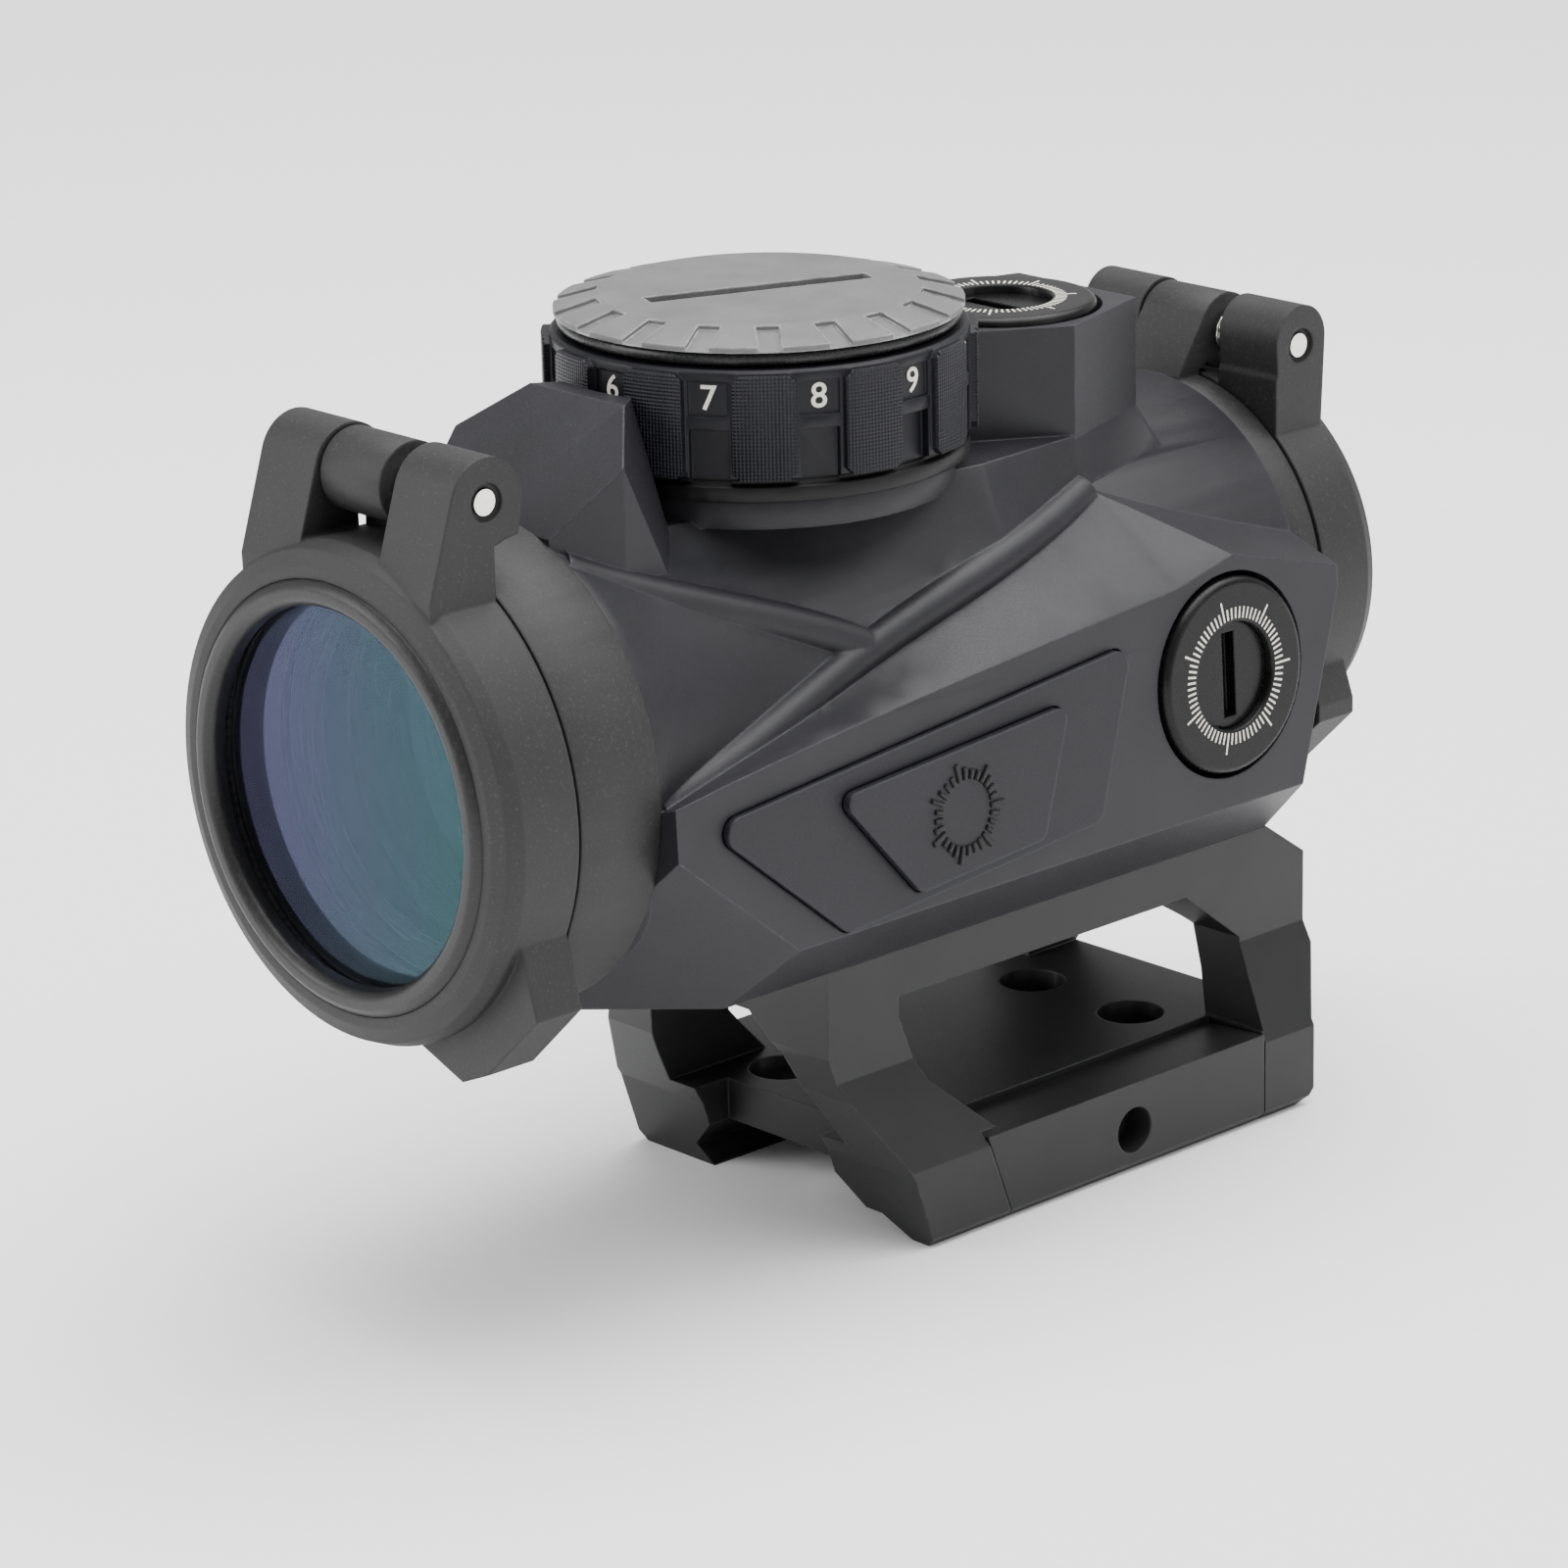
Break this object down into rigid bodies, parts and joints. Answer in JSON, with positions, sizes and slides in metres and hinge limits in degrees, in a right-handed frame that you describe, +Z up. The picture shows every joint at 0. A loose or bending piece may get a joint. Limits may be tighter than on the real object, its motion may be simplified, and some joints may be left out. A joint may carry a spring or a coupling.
{
  "type": "rail-mounted tube red dot sight",
  "caption": "Tube red dot sight with flip covers, numbered brightness dial, side button pad and coin-slot adjusters on a raised clamp-on rail mount.",
  "frame": {"origin": "on the flat rail seat under the mount, in the middle of the four access holes in the base plate", "axes": "+X towards the side with the button pad and windage adjuster, -Y towards the front (target) lens, +Y towards the eyepiece, +Z up, away from the rail"},
  "size_m": [0.0469, 0.1051, 0.0798],
  "materials": {
    "housing": "matt black hard-anodised aluminium, fine sandblasted grain",
    "mount": "matt black hard-anodised aluminium",
    "cover": "matt black moulded nylon",
    "dial": "matt black anodised aluminium, knurled pads",
    "cap": "matt dark grey anodised aluminium",
    "turret": "satin black anodised aluminium",
    "rubber_pad": "fine-grained black rubber",
    "seal": "black nitrile rubber",
    "window": "clear moulded window",
    "lens": "blue-green anti-reflection coating",
    "steel": "bright stainless steel",
    "bolt": "black oxide steel",
    "inner": "matt black anodised baffle",
    "nickel": "nickel-plated spring contact",
    "board": "green solder resist",
    "plastic": "black moulded insulator",
    "emitter": "red LED package"
  },
  "bodies": {
    "sight_body": {"main_housing": "housing", "riser_mount": "mount", "mount_screws": "bolt", "front_cover_ring": "cover", "front_hinge_pin": "steel", "front_hinge_spring": "steel", "rear_cover_ring": "cover", "rear_hinge_pin": "steel", "rear_hinge_spring": "steel", "eyepiece_lens": "lens", "eyepiece_ring": "inner", "dial_circlip": "steel", "dial_seal": "seal", "circuit_board": "board", "battery_holder": "plastic", "battery_spring": "nickel", "battery": "nickel", "elevation_scale_ring": "turret", "elevation_seal": "seal", "windage_scale_ring": "turret", "windage_seal": "seal", "button_pad": "rubber_pad", "switch_board": "board", "tact_switch": "plastic"},
    "front_cover": {"front_cover_frame": "cover", "front_cover_window": "window", "front_cover_bezel": "cover"},
    "rear_cover": {"rear_cover_frame": "cover", "rear_cover_window": "window", "rear_cover_bezel": "cover"},
    "pivot_ring": {"pivot_ring": "inner"},
    "optic_cell": {"optic_cell": "inner", "objective_lens": "lens", "objective_ring": "inner", "bias_spring": "steel", "led_holder": "plastic", "led_emitter": "emitter"},
    "brightness_dial": {"brightness_dial": "dial"},
    "cap_seal": {"cap_seal": "seal"},
    "battery_cap": {"battery_cap": "cap", "cap_contact": "nickel"},
    "elevation_screw": {"elevation_screw": "turret"},
    "elevation_plunger": {"elevation_plunger": "steel"},
    "windage_screw": {"windage_screw": "turret"},
    "windage_plunger": {"windage_plunger": "steel"},
    "power_button": {"power_button": "rubber_pad"},
    "clamp_screw": {"clamp_screw": "bolt"},
    "rail_clamp_bar": {"rail_clamp_bar": "mount"}
  },
  "joints": [
    {"name": "front_cover_hinge", "type": "hinge", "parent": "sight_body", "child": "front_cover", "pos_m": [0, -0.0615, 0.067], "axis": [-1, 0, 0], "range_deg": [0, 180]},
    {"name": "rear_cover_hinge", "type": "hinge", "parent": "sight_body", "child": "rear_cover", "pos_m": [0, 0.0314, 0.0627], "axis": [1, 0, 0], "range_deg": [0, 180]},
    {"name": "brightness_dial_turn", "type": "hinge", "parent": "sight_body", "child": "brightness_dial", "pos_m": [0, -0.022, 0.0672], "axis": [0, 0, 1], "range_deg": [-210, 120]},
    {"name": "battery_cap_lift", "type": "slide", "parent": "sight_body", "child": "cap_seal", "axis": [0, 0, 1], "range_m": [0, 0.00401]},
    {"name": "battery_cap_turn", "type": "hinge", "parent": "cap_seal", "child": "battery_cap", "pos_m": [0, -0.022, 0.0742], "axis": [0, 0, 1], "range_deg": [0, 1440]},
    {"name": "elevation_screw_turn", "type": "hinge", "parent": "sight_body", "child": "elevation_screw", "pos_m": [0, 0.0057, 0.0691], "axis": [0, 0, 1], "range_deg": [-361, 361]},
    {"name": "elevation_plunger_slide", "type": "slide", "parent": "sight_body", "child": "elevation_plunger", "axis": [0, 0, 1], "range_m": [-0.00046, 0.00046]},
    {"name": "windage_screw_turn", "type": "hinge", "parent": "sight_body", "child": "windage_screw", "pos_m": [0.0222, 0.0109, 0.0395], "axis": [0.9986, 0, 0.0523], "range_deg": [-361, 361]},
    {"name": "windage_plunger_slide", "type": "slide", "parent": "sight_body", "child": "windage_plunger", "axis": [0.9986, 0, 0.0523], "range_m": [-0.00051, 0.00051]},
    {"name": "optic_cell_yaw", "type": "hinge", "parent": "sight_body", "child": "pivot_ring", "pos_m": [0, -0.0385, 0.0422], "axis": [0, 0, 1], "range_deg": [-0.58, 0.58]},
    {"name": "optic_cell_pitch", "type": "hinge", "parent": "pivot_ring", "child": "optic_cell", "pos_m": [0, -0.0385, 0.0422], "axis": [1, 0, 0], "range_deg": [-0.58, 0.58]},
    {"name": "power_button_press", "type": "slide", "parent": "sight_body", "child": "power_button", "axis": [-0.9986, 0, -0.0523], "range_m": [0, 0.0006], "stiffness_N_per_m": 1500, "springref_m": -0.0003},
    {"name": "clamp_screw_turn", "type": "hinge", "parent": "sight_body", "child": "clamp_screw", "pos_m": [0, 0.003, -0.0006], "axis": [-1, 0, 0], "range_deg": [0, 1081]},
    {"name": "rail_clamp_bar_slide", "type": "slide", "parent": "sight_body", "child": "rail_clamp_bar", "axis": [1, 0, 0], "range_m": [0, 0.0024]}
  ],
  "couplings": [
    {"joint": "battery_cap_lift", "follows": "battery_cap_turn", "m_per_rad": 0.00015915},
    {"joint": "elevation_screw_turn", "follows": "optic_cell_pitch", "ratio": 617.15},
    {"joint": "elevation_plunger_slide", "follows": "optic_cell_pitch", "m_per_rad": 0.0442},
    {"joint": "windage_screw_turn", "follows": "optic_cell_yaw", "ratio": -620.78},
    {"joint": "windage_plunger_slide", "follows": "optic_cell_yaw", "m_per_rad": -0.0494},
    {"joint": "clamp_screw_turn", "follows": "rail_clamp_bar_slide", "rad_per_m": 7854}
  ]
}
